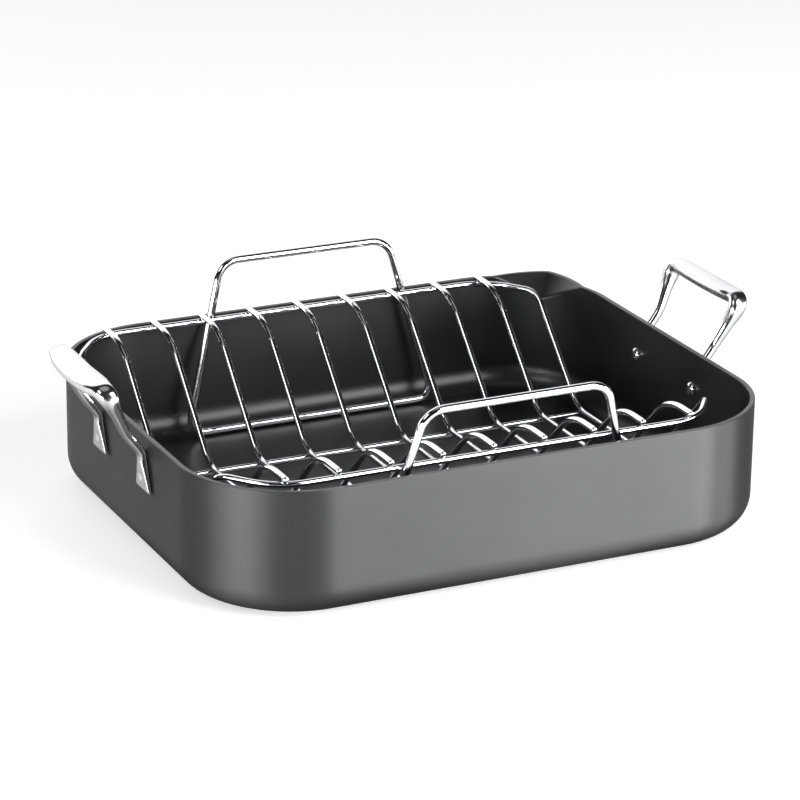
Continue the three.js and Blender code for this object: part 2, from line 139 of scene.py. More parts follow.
def satin_group():
    """Fine blasted grain over broad, faint clouds.

    Clouds plus a share of the grain mix two colours, the clouds also move the roughness, and the grain
    gives a height.
    """
    group, inside, out = new_group(
        "satin_grain",
        [
            ("Vector", "NodeSocketVector", None),
            ("Base", "NodeSocketColor", None),
            ("Worn", "NodeSocketColor", None),
            ("Grain Scale", "NodeSocketFloat", 1500.0),
            ("Cloud Scale", "NodeSocketFloat", 18.0),
            ("Roughness", "NodeSocketFloat", 0.4),
            ("Roughness Spread", "NodeSocketFloat", 0.06),
        ],
        [("Color", "NodeSocketColor"), ("Roughness", "NodeSocketFloat"), ("Height", "NodeSocketFloat")],
    )
    grain = add_node(group, "ShaderNodeTexNoise")
    grain.inputs["Detail"].default_value = 3
    clouds = add_node(group, "ShaderNodeTexNoise")
    clouds.inputs["Detail"].default_value = 4
    cloud_span = add_node(group, "ShaderNodeMapRange")
    cloud_span.inputs["From Min"].default_value = 0.35
    cloud_span.inputs["From Max"].default_value = 0.75
    cloud_span.inputs["To Max"].default_value = 0.55
    fleck = add_node(group, "ShaderNodeMath", operation="MULTIPLY_ADD")
    fleck.inputs[1].default_value = 0.35
    blend = add_node(group, "ShaderNodeMix", data_type="RGBA")
    shift = add_node(group, "ShaderNodeMath", operation="SUBTRACT")
    shift.inputs[1].default_value = 0.5
    rough = add_node(group, "ShaderNodeMath", operation="MULTIPLY_ADD")
    links = group.links
    links.new(inside.outputs["Vector"], grain.inputs["Vector"])
    links.new(inside.outputs["Vector"], clouds.inputs["Vector"])
    links.new(inside.outputs["Grain Scale"], grain.inputs["Scale"])
    links.new(inside.outputs["Cloud Scale"], clouds.inputs["Scale"])
    links.new(clouds.outputs["Fac"], cloud_span.inputs["Value"])
    links.new(grain.outputs["Fac"], fleck.inputs[0])
    links.new(cloud_span.outputs["Result"], fleck.inputs[2])
    links.new(fleck.outputs["Value"], blend.inputs["Factor"])
    links.new(inside.outputs["Base"], blend.inputs["A"])
    links.new(inside.outputs["Worn"], blend.inputs["B"])
    links.new(clouds.outputs["Fac"], shift.inputs[0])
    links.new(shift.outputs["Value"], rough.inputs[0])
    links.new(inside.outputs["Roughness Spread"], rough.inputs[1])
    links.new(inside.outputs["Roughness"], rough.inputs[2])
    links.new(blend.outputs["Result"], out.inputs["Color"])
    links.new(rough.outputs["Value"], out.inputs["Roughness"])
    links.new(grain.outputs["Fac"], out.inputs["Height"])
    return group


SATIN = satin_group()


def satin_material(name, base, worn, roughness, grain_scale, bump):
    """A satin surface from the grain group, on Object coordinates."""
    material, tree, shader = new_material(name)
    place = add_node(tree, "ShaderNodeTexCoord")
    satin = add_node(tree, "ShaderNodeGroup", node_tree=SATIN)
    satin.inputs["Base"].default_value = base
    satin.inputs["Worn"].default_value = worn
    satin.inputs["Grain Scale"].default_value = grain_scale
    satin.inputs["Roughness"].default_value = roughness
    height = add_node(tree, "ShaderNodeBump")
    height.inputs["Strength"].default_value = bump
    height.inputs["Distance"].default_value = GRAIN_HEIGHT
    tree.links.new(place.outputs["Object"], satin.inputs["Vector"])
    tree.links.new(satin.outputs["Color"], shader.inputs["Base Color"])
    tree.links.new(satin.outputs["Roughness"], shader.inputs["Roughness"])
    tree.links.new(satin.outputs["Height"], height.inputs["Height"])
    tree.links.new(height.outputs["Normal"], shader.inputs["Normal"])
    return material, shader


anodised, anodised_shader = satin_material(
    "anodised_satin", ANODISED_GREY, ANODISED_WORN, roughness=0.48, grain_scale=1500, bump=0.12
)
anodised_shader.inputs["Metallic"].default_value = METAL_SHARE
anodised_shader.inputs["Specular Tint"].default_value = (0.35, 0.35, 0.36, 1)
anodised_shader.inputs["Anisotropic"].default_value = 0.92
anodised_shader.inputs["Anisotropic Rotation"].default_value = 0.25
# Painted shade: low on the wall the base colour blends to a near-black by height, so the bottom bend
# renders as if in shade.
heel = anodised.node_tree
wall_colour = anodised_shader.inputs["Base Color"].links[0].from_socket
heel_place = add_node(heel, "ShaderNodeTexCoord")
heel_split = add_node(heel, "ShaderNodeSeparateXYZ")
heel_shade_span = add_node(heel, "ShaderNodeMapRange", interpolation_type="SMOOTHSTEP")
heel_shade_span.inputs["From Max"].default_value = HEEL_SHADE_TOP
heel_shade_blend = add_node(heel, "ShaderNodeMix", data_type="RGBA")
heel_shade_blend.inputs["A"].default_value = HEEL_PAINTED_SHADE
heel.links.new(heel_place.outputs["Object"], heel_split.inputs["Vector"])
heel.links.new(heel_split.outputs["Z"], heel_shade_span.inputs["Value"])
heel.links.new(heel_shade_span.outputs["Result"], heel_shade_blend.inputs["Factor"])
heel.links.new(wall_colour, heel_shade_blend.inputs["B"])
heel.links.new(heel_shade_blend.outputs["Result"], anodised_shader.inputs["Base Color"])
bare_rim, rim_shader = satin_material(
    "anodised_rim", RIM_GREY, RIM_WORN, roughness=0.42, grain_scale=1500, bump=0.12
)
rim_shader.inputs["Metallic"].default_value = METAL_SHARE
coat, coat_shader = satin_material(
    "non_stick_coat", COAT_BLACK, COAT_FLECK, roughness=0.34, grain_scale=900, bump=0.2
)
coat_shader.inputs["Specular IOR Level"].default_value = 0.8


def arc(start, end, count):
    """Angles in degrees from start to end, as radians."""
    return np.radians(np.linspace(start, end, count))


def pan_profile():
    """The sheet's section from the middle of its underside round the rim to the middle of its floor.

    Each row is a share of the way out from the middle, an inset from the outside and a height.
    """
    flat = np.array([0, 0.02, 0.25, 0.5, 0.75, 0.96])
    floor_edge = PAN_BOTTOM_ROUND
    inner_round = PAN_BOTTOM_ROUND - PAN_SHEET
    ones = np.ones_like
    under = np.stack([flat, 0 * flat + floor_edge, 0 * flat], axis=1)
    turn = arc(0, 90, 17)
    outer = np.stack([ones(turn), floor_edge * (1 - np.sin(turn)), floor_edge * (1 - np.cos(turn))], axis=1)
    foot = PAN_HEIGHT - 1.25 * SPOUT_DEPTH
    wall = np.concatenate([
        np.linspace(floor_edge, foot, 8)[1:-1],
        np.linspace(foot, PAN_HEIGHT - 2 * RIM_ROUND, 30),
    ])
    outside = np.stack([ones(wall), 0 * wall, wall], axis=1)
    edge = arc(0, 90, 7)
    lip_out = np.stack(
        [ones(edge), RIM_ROUND * (1 - np.cos(edge)), PAN_HEIGHT - RIM_ROUND * (1 - np.sin(edge))], axis=1
    )
    top = np.linspace(1.4 * RIM_ROUND, PAN_SHEET - 1.4 * RIM_ROUND, 4)
    rim = np.stack([ones(top), top, 0 * top + PAN_HEIGHT], axis=1)
    lip_in = lip_out[::-1] * [1, -1, 1] + [0, PAN_SHEET, 0]
    inside = outside[::-1] + [0, PAN_SHEET, 0]
    inside = inside[inside[:, 2] > PAN_SHEET + inner_round]
    inner = np.stack([
        ones(turn),
        PAN_SHEET + inner_round * (1 - np.cos(turn)),
        PAN_SHEET + inner_round * (1 - np.sin(turn)),
    ], axis=1)
    floor = under[::-1] + [0, 0, PAN_SHEET]
    rows = [under, outer, outside, lip_out, rim, lip_in, inside, inner, floor]
    return np.concatenate(rows), np.cumsum([len(part) for part in rows])


def pan_columns():
    """The columns round the pan: each one's start, its way out and its angle from the spout's middle.

    A corner's columns fan out from one centre, and a side's columns step from one centre to the next.
    """
    centres = np.array([PAN_HALF_LENGTH, PAN_HALF_WIDTH]) - PAN_CORNER
    signs = np.array([[1, 1], [-1, 1], [-1, -1], [1, -1]])
    starts, ways, bends = [], [], []
    for corner in range(4):
        angles = arc(90 * corner, 90 * corner + 90, SPOUT_COLUMNS if corner == 0 else CORNER_COLUMNS)
        here = signs[corner] * centres
        after = signs[(corner + 1) % 4] * centres
        share = np.linspace(0, 1, SIDE_COLUMNS + 2)[1:-1]
        way = np.stack([np.cos(angles), np.sin(angles)], axis=1)
        starts += [np.repeat([here], len(angles), axis=0), here + share[:, None] * (after - here)]
        ways += [way, np.repeat([way[-1]], len(share), axis=0)]
        off = angles - math.pi / 4 if corner == 0 else np.full(len(angles), math.pi)
        bends += [off, np.full(len(share), math.pi)]
    return np.concatenate(starts), np.concatenate(ways), np.concatenate(bends)


def spout_push(bend, height):
    """How far the spout stands out from the wall.

    It is the rise up the wall less the angle from the spout's middle, rounded at both creases.
    """
    rise = (height - PAN_HEIGHT) / SPOUT_DEPTH + 1
    away = (np.hypot(bend, SPOUT_TIP) - SPOUT_TIP) / SPOUT_SPREAD
    push = np.minimum(rise, 1) - away
    eased = (push + SPOUT_SOFT) ** 2 / (4 * SPOUT_SOFT)
    return SPOUT_REACH * np.where(push > SPOUT_SOFT, push, np.where(push > -SPOUT_SOFT, eased, 0))


profile, bands = pan_profile()
start, way, bend = pan_columns()
share, inset, height = profile[:, 0, None], profile[:, 1, None], profile[:, 2, None]
reach = PAN_CORNER - inset + spout_push(bend[None, :], height)
plan = share[..., None] * (start[None] + reach[..., None] * way[None])
pan_grid = np.concatenate([plan, np.broadcast_to(height, reach.shape)[..., None]], axis=2)
pan_points, pan_faces = capped_skin(pan_grid)
face_rows = np.concatenate([
    np.zeros(len(way)),
    np.repeat(np.arange(1, len(profile) - 2), len(way)),
    np.full(len(way), len(profile)),
])
rim_from, rim_to = bands[2] + 2, bands[5] - 3
finish = np.select([face_rows < rim_from, face_rows < rim_to], [0, 1], 2)
pan = new_piece("pan", pan_points, pan_faces, [anodised, bare_rim, coat], finish)
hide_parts("pan_body")
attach(pan, "pan")

# Side handles: one polished cast-steel bow on each short wall. A broad, slightly crowned grip ends in
# two rounded bosses, two legs lean in to the wall, and a fan-shaped pad on each leg is riveted to it.
PAD_SPACING = 77.4 * MM
GRIP_TILT = math.radians(10)
HANDLE_STEP = 0.8 * MM
HANDLE_SIDES = 48
EASE_PASSES = 24
EASE_SHARE = 0.25
EASE_END = 96 * MM
PAD_START = 97 * MM
STEEL = (0.78, 0.78, 0.79, 1)
STEEL_DARK = (0.66, 0.66, 0.68, 1)
# Painted shade: a dark grey laid on parts of the handles by their satin mask.
STEEL_PAINTED_SHADE = (0.17, 0.17, 0.175, 1)
EDGE_TINT = (0.75, 0.75, 0.77, 1)
SATIN_ROUGHER = 0.3
MARK_HEIGHT = 0.02 * MM


def polish_group():
    """Polishing marks on a bright metal.

    Soft smudges mix two colours and move the roughness, fine lines give a height, and a mask lays a
    painted shade colour on the parts it covers and makes them rougher.
    """
    group, inside, out = new_group(
        "polish_marks",
        [
            ("Vector", "NodeSocketVector", None),
            ("Base", "NodeSocketColor", None),
            ("Dull", "NodeSocketColor", None),
            ("Painted Shade", "NodeSocketColor", None),
            ("Satin Mask", "NodeSocketFloat", 0.0),
            ("Line Scale", "NodeSocketFloat", 900.0),
            ("Roughness", "NodeSocketFloat", 0.08),
            ("Roughness Spread", "NodeSocketFloat", 0.08),
        ],
        [("Color", "NodeSocketColor"), ("Roughness", "NodeSocketFloat"), ("Height", "NodeSocketFloat")],
    )
    lines = add_node(group, "ShaderNodeTexNoise")
    lines.inputs["Detail"].default_value = 2
    smudge = add_node(group, "ShaderNodeTexNoise")
    smudge.inputs["Scale"].default_value = 45
    smudge.inputs["Detail"].default_value = 3
    span = add_node(group, "ShaderNodeMapRange")
    span.inputs["From Min"].default_value = 0.4
    span.inputs["From Max"].default_value = 0.8
    blend = add_node(group, "ShaderNodeMix", data_type="RGBA")
    shade_mix = add_node(group, "ShaderNodeMix", data_type="RGBA")
    rough = add_node(group, "ShaderNodeMath", operation="MULTIPLY_ADD")
    rougher = add_node(group, "ShaderNodeMath", operation="MULTIPLY_ADD")
    rougher.inputs[1].default_value = SATIN_ROUGHER
    links = group.links
    links.new(inside.outputs["Vector"], lines.inputs["Vector"])
    links.new(inside.outputs["Vector"], smudge.inputs["Vector"])
    links.new(inside.outputs["Line Scale"], lines.inputs["Scale"])
    links.new(smudge.outputs["Fac"], span.inputs["Value"])
    links.new(span.outputs["Result"], blend.inputs["Factor"])
    links.new(inside.outputs["Base"], blend.inputs["A"])
    links.new(inside.outputs["Dull"], blend.inputs["B"])
    links.new(inside.outputs["Satin Mask"], shade_mix.inputs["Factor"])
    links.new(blend.outputs["Result"], shade_mix.inputs["A"])
    links.new(inside.outputs["Painted Shade"], shade_mix.inputs["B"])
    links.new(span.outputs["Result"], rough.inputs[0])
    links.new(inside.outputs["Roughness Spread"], rough.inputs[1])
    links.new(inside.outputs["Roughness"], rough.inputs[2])
    links.new(inside.outputs["Satin Mask"], rougher.inputs[0])
    links.new(rough.outputs["Value"], rougher.inputs[2])
    links.new(shade_mix.outputs["Result"], out.inputs["Color"])
    links.new(rougher.outputs["Value"], out.inputs["Roughness"])
    links.new(lines.outputs["Fac"], out.inputs["Height"])
    return group


POLISH = polish_group()


def polished_material(name, base, dull, roughness, stretch, bump):
    """A bright metal with polishing marks, stretched along the Object coordinates.

    Returns the material and the node of its marks.
    """
    material, tree, shader = new_material(name)
    place = add_node(tree, "ShaderNodeTexCoord")
    drawn = add_node(tree, "ShaderNodeMapping")
    drawn.inputs["Scale"].default_value = stretch
    marks = add_node(tree, "ShaderNodeGroup", node_tree=POLISH)
    marks.inputs["Base"].default_value = base
    marks.inputs["Dull"].default_value = dull
    marks.inputs["Roughness"].default_value = roughness
    height = add_node(tree, "ShaderNodeBump")
    height.inputs["Strength"].default_value = bump
    height.inputs["Distance"].default_value = MARK_HEIGHT
    shader.inputs["Metallic"].default_value = 1
    shader.inputs["Specular Tint"].default_value = EDGE_TINT
    tree.links.new(place.outputs["Object"], drawn.inputs["Vector"])
    tree.links.new(drawn.outputs["Vector"], marks.inputs["Vector"])
    tree.links.new(marks.outputs["Color"], shader.inputs["Base Color"])
    tree.links.new(marks.outputs["Roughness"], shader.inputs["Roughness"])
    tree.links.new(marks.outputs["Height"], height.inputs["Height"])
    tree.links.new(height.outputs["Normal"], shader.inputs["Normal"])
    return material, marks


cast_steel, cast_marks = polished_material(
    "polished_cast_steel", STEEL, STEEL_DARK, roughness=0.13, stretch=(1, 0.15, 1), bump=0.03
)
# Painted shade: where the handle's satin mask is set, the colour turns dark grey and the finish rougher.
cast_marks.inputs["Painted Shade"].default_value = STEEL_PAINTED_SHADE
cast_shade_mask = add_node(cast_steel.node_tree, "ShaderNodeAttribute", attribute_name="satin")
cast_steel.node_tree.links.new(cast_shade_mask.outputs["Fac"], cast_marks.inputs["Satin Mask"])


def bent_line(corners, radii, closed):
    """Straight runs between corners with a round bend of each corner's radius, as points in order.

    A bend leaves its corner by radius times the tangent of half its turn, both ways.
    """
    corners = np.asarray(corners, float)
    before = corners - np.roll(corners, 1, axis=0)
    after = np.roll(corners, -1, axis=0) - corners
    before /= np.linalg.norm(before, axis=1)[:, None]
    after /= np.linalg.norm(after, axis=1)[:, None]
    turns = np.arccos(np.clip((before * after).sum(1), -1, 1))
    line = []
    for i, corner in enumerate(corners):
        if radii[i] == 0 or (not closed and i in (0, len(corners) - 1)):
            line.append(corner[None])
            continue
        inward = after[i] - before[i] * np.dot(before[i], after[i])
        inward /= np.linalg.norm(inward)
        sweep = np.linspace(0, turns[i], max(3, math.ceil(turns[i] / math.radians(5))))[:, None]
        begin = corner - before[i] * radii[i] * math.tan(turns[i] / 2)
        line.append(begin + radii[i] * (np.sin(sweep) * before[i] + (1 - np.cos(sweep)) * inward))
    return np.concatenate(line)


def evenly(line, step, closed):
    """The same line with points about one step apart."""
    if closed:
        line = np.vstack([line, line[:1]])
    run = np.concatenate([[0], np.cumsum(np.linalg.norm(np.diff(line, axis=0), axis=1))])
    count = max(2, round(run[-1] / step))
    stops = np.linspace(0, run[-1], count + 1)
    spaced = np.stack([np.interp(stops, run, line[:, axis]) for axis in range(3)], axis=1)
    return (spaced[:-1], stops[:-1]) if closed else (spaced, stops)


def headings(line, closed):
    """Unit direction at each point of a line, from its two neighbours."""
    if closed:
        ahead = np.roll(line, -1, axis=0) - np.roll(line, 1, axis=0)
    else:
        ahead = np.gradient(line, axis=0)
    return ahead / np.linalg.norm(ahead, axis=1)[:, None]


def smooth_steps(knots, values, places):
    """Values at the knots, joined by curves that are level at each knot."""
    found = np.clip(np.searchsorted(knots, places) - 1, 0, len(knots) - 2)
    knots, values = np.asarray(knots, float), np.asarray(values, float)
    share = np.clip((places - knots[found]) / (knots[found + 1] - knots[found]), 0, 1)
    share = share * share * (3 - 2 * share)
    return values[found] * (1 - share) + values[found + 1] * share


def handle_grid():
    """A bow on the right wall: rounded-box rings along its bent line, and each point's share of painted
    shade.

    A ring's half depth, half width and squareness follow from its distance to the grip's middle, over
    the grip, the boss, the leg and the pad. Above the pads each ring is eased towards its neighbours, as
    polishing does to a casting.
    """
    wall = PAN_HALF_LENGTH
    climb = np.array([[1.7, 38.7, 51.5], [2.9, 38.7, 77], [13, 38.7, 90], [28.6, 46.4, 123]])
    middle = np.array([[30.4, 0, 120.8]])
    stops = np.vstack([climb, middle, climb[::-1] * [1, -1, 1]]) * MM + [wall, 0, 0]
    radii = np.array([0, 8, 12, 6.5, 300, 6.5, 12, 8, 0]) * MM
    line, run = evenly(bent_line(stops, radii, False), HANDLE_STEP, False)
    along = headings(line, False)
    away = np.abs(run - run[-1] / 2)
    end = run[-1] / 2
    lean = np.array([math.cos(GRIP_TILT), 0, -math.sin(GRIP_TILT)])
    depth_way = lean - along * (along @ lean)[:, None]
    depth_way /= np.linalg.norm(depth_way, axis=1)[:, None]
    width_way = np.cross(along, depth_way)
    tip = 1000 * end
    knots = np.array([0, 16, 30, 38, 46, 54, 62, 82, 93, 100, tip - 1.2, tip]) * MM
    depths = np.array([9.4, 9.3, 8.6, 6.7, 6.5, 5.2, 3.9, 3.2, 3, 2.6, 1.5, 0.9]) * MM
    widths = np.array([4.9, 4.9, 4.9, 5.1, 5.4, 5, 4.1, 3.2, 3.2, 3.5, 10.9, 10.2]) * MM
    squares = np.array([2.7, 2.7, 2.7, 2.6, 2.6, 2.6, 2.5, 2.5, 2.6, 3.2, 5, 5])
    depth = smooth_steps(knots, depths, away)
    pad_top, pad_foot = knots[9], knots[10]
    fan = np.clip((away - pad_top) / (pad_foot - pad_top), 0, 1)
    fan_width = widths[9] + (widths[10] - widths[9]) * fan
    width = np.where(away > pad_top, fan_width, smooth_steps(knots, widths, away))
    power = 2 / smooth_steps(knots, squares, away)
    round_way = np.linspace(0, 2 * np.pi, HANDLE_SIDES, endpoint=False)
    cosine, sine = np.cos(round_way), np.sin(round_way)
    depth_share = np.sign(cosine) * np.abs(cosine) ** power[:, None]
    width_share = np.sign(sine) * np.abs(sine) ** power[:, None]
    rings = (
        line[:, None]
        + (depth[:, None] * depth_share)[..., None] * depth_way[:, None]
        + (width[:, None] * width_share)[..., None] * width_way[:, None]
    )
    free = (away < EASE_END)[1:-1, None, None]
    for _ in range(EASE_PASSES):
        rings[1:-1] += EASE_SHARE * free * (rings[2:] - 2 * rings[1:-1] + rings[:-2])
    # Painted shade: the outer faces of the legs and the underside of the grip take a dark colour and a
    # rougher finish, standing in for the darker surroundings they mirror.
    shade_knots = np.array([0, 40, 54, 92, 102, 200]) * MM
    on_leg = smooth_steps(shade_knots, [0, 0, 1, 1, 0.5, 0.5], away)[:, None]
    on_pad = (away > PAD_START)[:, None]
    under_grip = np.where(on_pad, 0, (1 - on_leg) * np.clip(-1.5 * width_share, 0, 1))
    satin = on_leg * np.clip(1.5 * depth_share, 0, 1) + under_grip
    caps = np.repeat(line[[0, -1]][:, None], HANDLE_SIDES, axis=1)
    grid = np.concatenate([caps[:1], rings, caps[1:]])
    return grid, np.concatenate([[0], satin.ravel(), [0]])


right_handle, handle_shade_and_satin = handle_grid()
for side, turn in (("right", 1), ("left", -1)):
    points, faces = capped_skin(right_handle * [turn, turn, 1])
    handle = new_piece(f"handle_{side}", points, faces, [cast_steel])
    handle.data.attributes.new("satin", "FLOAT", "POINT").data.foreach_set("value", handle_shade_and_satin)
    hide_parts(f"side_handle_{side}")
    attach(handle, "pan")

# Rivets: solid steel, two to a handle. The domed head sits inside the pan, the shank goes through wall
# and pad, and its end is pressed to a low crown on the pad's face.
RIVET_Z = 60 * MM
RIVET_HEAD = 5.3 * MM
RIVET_DOME = 3 * MM
RIVET_SHANK = 3 * MM
RIVET_LENGTH = 7.7 * MM
RIVET_CROWN = 0.5 * MM
RIVET_EDGE = 0.3 * MM
RIVET_SEAT = PAN_HALF_LENGTH - PAN_SHEET - RIVET_EDGE
RIVET_SIDES = 40
RIVET_FULLNESS = 0.85


def rivet_grid():
    """A turned profile swung round the rivet's axis: dome, step under the head, shank and low crown."""
    swing = arc(0, 90, 15)
    dome = np.stack([-RIVET_DOME * np.cos(swing), RIVET_HEAD * np.sin(swing) ** RIVET_FULLNESS], axis=1)
    crown = np.stack([RIVET_LENGTH + RIVET_CROWN * np.sin(swing), RIVET_SHANK * np.cos(swing)], axis=1)
    step = [[0.25 * MM, RIVET_HEAD], [RIVET_EDGE, RIVET_HEAD - 0.1 * MM], [RIVET_EDGE, RIVET_SHANK]]
    rows = np.vstack([dome, step, crown])
    spin = np.linspace(0, 2 * np.pi, RIVET_SIDES, endpoint=False)
    axial = np.broadcast_to(rows[:, :1], (len(rows), len(spin)))
    return np.stack([axial, rows[:, 1:] * np.cos(spin), rows[:, 1:] * np.sin(spin)], axis=2)


rivet_steel, _ = polished_material(
    "polished_rivet_steel", STEEL, STEEL_DARK, roughness=0.14, stretch=(1, 1, 1), bump=0.03
)
rivet = rivet_grid()
for side, turn in (("right", 1), ("left", -1)):
    for end, y in (("front", -PAD_SPACING / 2), ("rear", PAD_SPACING / 2)):
        points, faces = capped_skin((rivet + [RIVET_SEAT, 0, 0]) * [turn, turn, 1] + [0, y, RIVET_Z])
        piece = new_piece(f"rivet_head_{side}_{end}", points, faces, [rivet_steel])
        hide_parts(f"rivet_{side}_{end}")
        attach(piece, "pan")

# Rack frame: one steel wire, bent to two long rails whose rounded corners dip into a trough-shaped end
# on each side, butt-welded to a closed loop and chromed.
WIRE = 2.1 * MM
WIRE_SIDES = 20
WIRE_STEP = 2 * MM
WIRE_END = 1.2 * MM
RACK_X = -13 * MM
RAIL_Y = 154.5 * MM
RAIL_Z = 87.5 * MM
RACK_HALF = 174.6 * MM
TROUGH_Y = 53.5 * MM
TROUGH_Z = 20.5 * MM
TROUGH_BEND = 27 * MM
CORNER_ALONG = 25 * MM
CORNER_ACROSS = 34 * MM
CORNER_BEND = 40 * MM
DIP_BEND = 18 * MM
WELD_GAP = 0.3 * MM
CHROME = (0.83, 0.83, 0.845, 1)
CHROME_DULL = (0.72, 0.72, 0.74, 1)
chromed, _ = polished_material(
    "chromed_wire", CHROME, CHROME_DULL, roughness=0.07, stretch=(1, 1, 1), bump=0.006
)


def wire_grid(line, up, radius, closed):
    """Rings of one radius along a line; each ring stands square to the line, turned to face up."""
    along = headings(line, closed)
    side_way = np.cross(up, along)
    side_way /= np.linalg.norm(side_way, axis=1)[:, None]
    top_way = np.cross(along, side_way)
    spin = np.linspace(0, 2 * np.pi, WIRE_SIDES, endpoint=False)[:, None]
    radius = np.broadcast_to(radius, len(line))[:, None, None]
    return line[:, None] + radius * (np.cos(spin) * side_way[:, None] + np.sin(spin) * top_way[:, None])


def ring_wire(name, line, up, radius):
    """A closed wire: a grid that wraps both ways."""
    grid = wire_grid(line, up, radius, True)
    rows, columns = grid.shape[:2]
    faces = skin_faces(rows + 1, columns) % (rows * columns)
    return new_piece(name, grid, faces.tolist(), [chromed])


def cut_wire(name, line, up, radius):
    """An open wire whose sawn ends are ground round, by a circle from the wire's side to the end's flat.

    The circle stops short of a full quarter, so that no two points of the line fall together.
    """
    sweep = arc(0, 84, 6)[:, None]
    count = len(sweep)
    along = headings(line, False)
    first = line[:1] + along[:1] * WIRE_END * (1 - np.sin(sweep))
    last = line[-1:] - along[-1:] * WIRE_END * (1 - np.sin(sweep))
    line = np.vstack([line[:1], first[::-1], line[1:-1], last, line[-1:]])
    rounded = radius - WIRE_END * (1 - np.cos(sweep[:, 0]))
    radii = np.full(len(line), radius)
    radii[1 : count + 1] = rounded[::-1]
    radii[-count - 1 : -1] = rounded
    radii[[0, -1]] = 0
    grid = wire_grid(line, up, radii, False)
    return new_piece(name, *capped_skin(grid), [chromed])


def frame_line():
    """The frame's bent line: along the rail, round the corner, down the trough's side and across.

    The corners of one quarter are mirrored to the other three.
    """
    quarter = np.array([
        [RACK_HALF - CORNER_ALONG, RAIL_Y, RAIL_Z],
        [RACK_HALF, RAIL_Y - CORNER_ACROSS, RAIL_Z],
        [RACK_HALF, TROUGH_Y, TROUGH_Z],
    ])
    bends = np.array([CORNER_BEND, DIP_BEND, TROUGH_BEND])
    corners = np.vstack([
        quarter, quarter[::-1] * [1, -1, 1], quarter * [-1, -1, 1], quarter[::-1] * [-1, 1, 1],
    ]) + [RACK_X, 0, 0]
    radii = np.concatenate([bends, bends[::-1], bends, bends[::-1]])
    return bent_line(corners, radii, True)


rack_frame = ring_wire("frame_wire", evenly(frame_line(), WIRE_STEP, True)[0], [0, 0, 1], WIRE)
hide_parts("rack_frame")
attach(rack_frame, "rack")

# Ribs: nine wires bent to a trough with a round hump at each side and a flat lip, sawn off square.
# Each lies across both rails and is welded to them.
RIB_COUNT = 9
RIB_SPAN = 143.5 * MM
RIB_END = 156.6 * MM
HUMP_Y = 123.6 * MM
LIP_Z = 92 * MM
LIP_BEND = 44 * MM
half_rib = np.array([[0, RIB_END, LIP_Z], [0, HUMP_Y, LIP_Z], [0, TROUGH_Y, TROUGH_Z]])
rib_corners = np.vstack([half_rib, half_rib[::-1] * [1, -1, 1]])
rib_radii = np.array([0, LIP_BEND, TROUGH_BEND, TROUGH_BEND, LIP_BEND, 0])
rib_line = evenly(bent_line(rib_corners, rib_radii, False), WIRE_STEP, False)[0]
rib_places = RACK_X + np.linspace(-RIB_SPAN, RIB_SPAN, RIB_COUNT)
for number, x in enumerate(rib_places, start=1):
    rib = cut_wire(f"rib_wire_{number}", rib_line + [x, 0, 0], [1, 0, 0], WIRE)
    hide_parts(f"rack_rib_{number}")
    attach(rib, "rack")

# Keel wires: two straight wires under the trough's lower bends, welded below the ribs and the frame's
# two ends, so that the ribs keep their spacing.
KEEL_ANGLE = math.radians(16)
KEEL_STEP = 6 * MM
rise = math.atan2(LIP_Z - TROUGH_Z, HUMP_Y - TROUGH_Y)
bend_y = TROUGH_Y - TROUGH_BEND * math.tan(rise / 2)
keel_reach = TROUGH_BEND + 2 * WIRE + WELD_GAP
KEEL_Y = bend_y + keel_reach * math.sin(KEEL_ANGLE)
KEEL_Z = TROUGH_Z + TROUGH_BEND - keel_reach * math.cos(KEEL_ANGLE)
KEEL_HALF = RACK_HALF + WIRE
for side, turn in (("front", -1), ("rear", 1)):
    ends = np.array([[-KEEL_HALF, turn * KEEL_Y, KEEL_Z], [KEEL_HALF, turn * KEEL_Y, KEEL_Z]])
    line = evenly(ends + [RACK_X, 0, 0], KEEL_STEP, False)[0]
    keel = cut_wire(f"keel_wire_{side}", line, [0, 0, 1], WIRE)
    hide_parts(f"rack_keel_{side}")
    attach(keel, "rack")

# Loops: one thicker closed wire on each long side. Its top bar is the lifting handle, its legs lean
# out past the rail they are welded to, and its bottom bar is the foot on the pan's floor.
LOOP_WIRE = 2.75 * MM
LOOP_X = RACK_X + 11.5 * MM
LOOP_FOOT_HALF = 96 * MM
LOOP_TOP_HALF = 64 * MM
LOOP_FOOT_BEND = 10 * MM
LOOP_TOP_BEND = 16 * MM
FOOT_Y = 150 * MM
FOOT_Z = PAN_SHEET + WELD_GAP + LOOP_WIRE
LOOP_TOP_Z = 126 * MM
loop_lean = (RAIL_Y + WIRE + WELD_GAP + LOOP_WIRE - FOOT_Y) / (RAIL_Z - FOOT_Z)
LOOP_TOP_Y = FOOT_Y + loop_lean * (LOOP_TOP_Z - FOOT_Z)
loop_corners = np.array([
    [LOOP_FOOT_HALF, FOOT_Y, FOOT_Z],
    [LOOP_TOP_HALF, LOOP_TOP_Y, LOOP_TOP_Z],
    [-LOOP_TOP_HALF, LOOP_TOP_Y, LOOP_TOP_Z],
    [-LOOP_FOOT_HALF, FOOT_Y, FOOT_Z],
])
loop_radii = [LOOP_FOOT_BEND, LOOP_TOP_BEND, LOOP_TOP_BEND, LOOP_FOOT_BEND]
for side, turn in (("front", -1), ("rear", 1)):
    corners = loop_corners * [1, turn, 1] + [LOOP_X, 0, 0]
    line = evenly(bent_line(corners, loop_radii, True), WIRE_STEP, True)[0]
    loop = ring_wire(f"loop_wire_{side}", line, [0, 1, 0], LOOP_WIRE)
    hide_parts(f"rack_loop_{side}")
    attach(loop, "rack")

